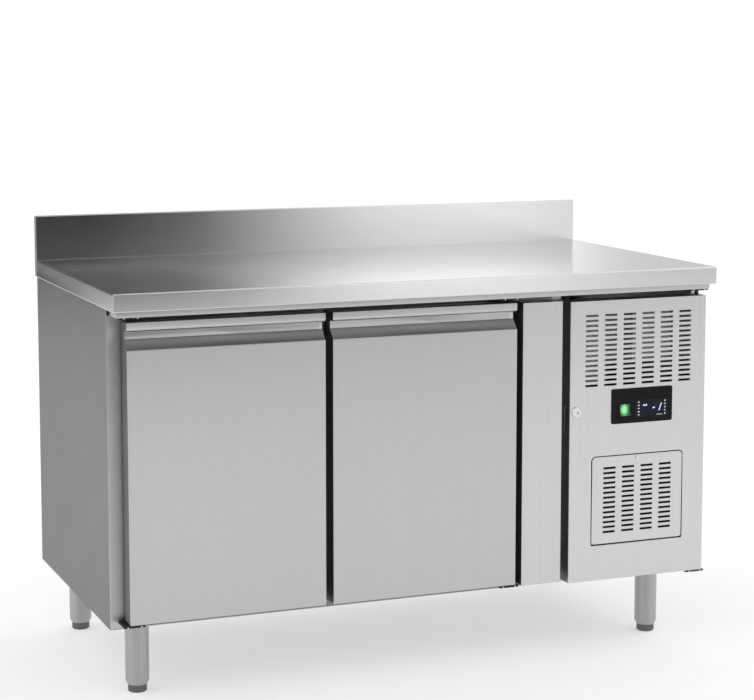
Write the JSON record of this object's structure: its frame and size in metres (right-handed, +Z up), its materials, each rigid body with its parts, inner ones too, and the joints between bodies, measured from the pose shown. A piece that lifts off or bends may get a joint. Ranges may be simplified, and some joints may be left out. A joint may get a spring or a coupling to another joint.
{
  "type": "undercounter refrigerator",
  "caption": "Refrigerated stainless counter: two hinged insulated doors, wire shelves, a side machine compartment with hinged grille panel, worktop with upstand, adjustable legs.",
  "frame": {"origin": "on the floor under the middle of the counter", "axes": "+X to the right seen from the front, +Y to the back, +Z up; the doors face -Y"},
  "size_m": [1.36, 0.7, 0.95],
  "materials": {
    "brushed_steel": "satin",
    "worktop_board": "matte",
    "inner_steel": "satin",
    "foam": "matte",
    "white_plastic": "satin",
    "fin_aluminium": "satin",
    "black_metal": "satin",
    "galvanised": "satin",
    "black_plastic": "satin",
    "bush_plastic": "satin",
    "coated_wire": "satin",
    "mount_rubber": "matte",
    "copper": "satin",
    "leg_steel": "satin",
    "gasket_rubber": "matte",
    "display_lens": "gloss",
    "green_rocker": "gloss",
    "bright_steel": "polished",
    "filter_mesh": "matte"
  },
  "bodies": {
    "cabinet": {"worktop_skin": "brushed_steel", "worktop_core": "worktop_board", "upstand": "brushed_steel", "top_tray": "inner_steel", "side_panel_left": "brushed_steel", "side_panel_right": "brushed_steel", "back_panel": "inner_steel", "base_panel": "inner_steel", "frame_rails": "inner_steel", "frame_posts": "inner_steel", "insulation": "foam", "liner_sides": "inner_steel", "liner_decks": "inner_steel", "liner_back": "inner_steel", "partition_panel": "inner_steel", "filler_panel": "brushed_steel", "evaporator_cover": "white_plastic", "evaporator_coil": "fin_aluminium", "fan_motors": "black_metal", "drip_tray": "black_plastic", "shelf_uprights": "inner_steel", "shelf_guides": "inner_steel", "shelf_left": "coated_wire", "shelf_right": "coated_wire", "hinge_brackets": "black_metal", "machine_floor": "inner_steel", "compressor": "black_metal", "compressor_mounts": "mount_rubber", "condenser_coil": "fin_aluminium", "fan_shroud": "black_metal", "filter_drier": "copper", "refrigerant_pipes": "copper", "evaporating_pan": "black_plastic", "control_box": "galvanised", "cable_inlet": "black_plastic", "leg_tubes": "leg_steel"},
    "door_left": {"door_left_skin": "brushed_steel", "door_left_core": "foam", "door_left_liner": "inner_steel", "door_left_gasket": "gasket_rubber", "door_left_bushes": "bush_plastic"},
    "door_right": {"door_right_skin": "brushed_steel", "door_right_core": "foam", "door_right_liner": "inner_steel", "door_right_gasket": "gasket_rubber", "door_right_bushes": "bush_plastic"},
    "machine_door": {"machine_panel": "brushed_steel", "control_plate": "black_plastic", "thermostat": "display_lens"},
    "rocker": {"rocker_switch": "green_rocker"},
    "lock": {"panel_lock": "bright_steel"},
    "filter_flap": {"filter_cover": "brushed_steel", "filter_mesh": "filter_mesh"},
    "quarter_screw": {"filter_screw": "bright_steel"},
    "condenser_rotor": {"condenser_fan": "black_plastic"},
    "evaporator_rotor": {"evaporator_fan": "black_plastic"},
    "foot_fl": {"foot_front_left": "leg_steel"},
    "foot_fr": {"foot_front_right": "leg_steel"},
    "foot_bl": {"foot_back_left": "leg_steel"},
    "foot_br": {"foot_back_right": "leg_steel"}
  },
  "joints": [
    {"name": "door_left_hinge", "type": "hinge", "parent": "cabinet", "child": "door_left", "pos_m": [-0.638, -0.312, 0.178], "axis": [0, 0, -1], "range_deg": [0, 95]},
    {"name": "door_right_hinge", "type": "hinge", "parent": "cabinet", "child": "door_right", "pos_m": [0.192, -0.312, 0.178], "axis": [0, 0, 1], "range_deg": [0, 95]},
    {"name": "machine_panel_hinge", "type": "hinge", "parent": "cabinet", "child": "machine_door", "pos_m": [0.651, -0.312, 0.168], "axis": [0, 0, 1], "range_deg": [0, 100]},
    {"name": "rocker_pivot", "type": "hinge", "parent": "machine_door", "child": "rocker", "pos_m": [0.4635, -0.329, 0.5425], "axis": [1, 0, 0], "range_deg": [0, 12]},
    {"name": "lock_turn", "type": "hinge", "parent": "machine_door", "child": "lock", "pos_m": [0.346, -0.333, 0.545], "axis": [0, 1, 0], "range_deg": [0, 90]},
    {"name": "filter_cover_hinge", "type": "hinge", "parent": "machine_door", "child": "filter_flap", "pos_m": [0.4975, -0.3298, 0.2516], "axis": [1, 0, 0], "range_deg": [0, 95]},
    {"name": "filter_screw_turn", "type": "hinge", "parent": "filter_flap", "child": "quarter_screw", "pos_m": [0.4975, -0.333, 0.435], "axis": [0, 1, 0], "range_deg": [0, 90]},
    {"name": "condenser_fan_spin", "type": "hinge", "parent": "cabinet", "child": "condenser_rotor", "pos_m": [0.5045, -0.15, 0.31], "axis": [0, -1, 0], "continuous": true},
    {"name": "evaporator_fan_spin", "type": "hinge", "parent": "cabinet", "child": "evaporator_rotor", "pos_m": [0.209, 0.03, 0.62], "axis": [-1, 0, 0], "continuous": true},
    {"name": "foot_front_left_screw", "type": "slide", "parent": "cabinet", "child": "foot_fl", "axis": [0, 0, -1], "range_m": [0, 0.04]},
    {"name": "foot_front_right_screw", "type": "slide", "parent": "cabinet", "child": "foot_fr", "axis": [0, 0, -1], "range_m": [0, 0.04]},
    {"name": "foot_back_left_screw", "type": "slide", "parent": "cabinet", "child": "foot_bl", "axis": [0, 0, -1], "range_m": [0, 0.04]},
    {"name": "foot_back_right_screw", "type": "slide", "parent": "cabinet", "child": "foot_br", "axis": [0, 0, -1], "range_m": [0, 0.04]}
  ]
}
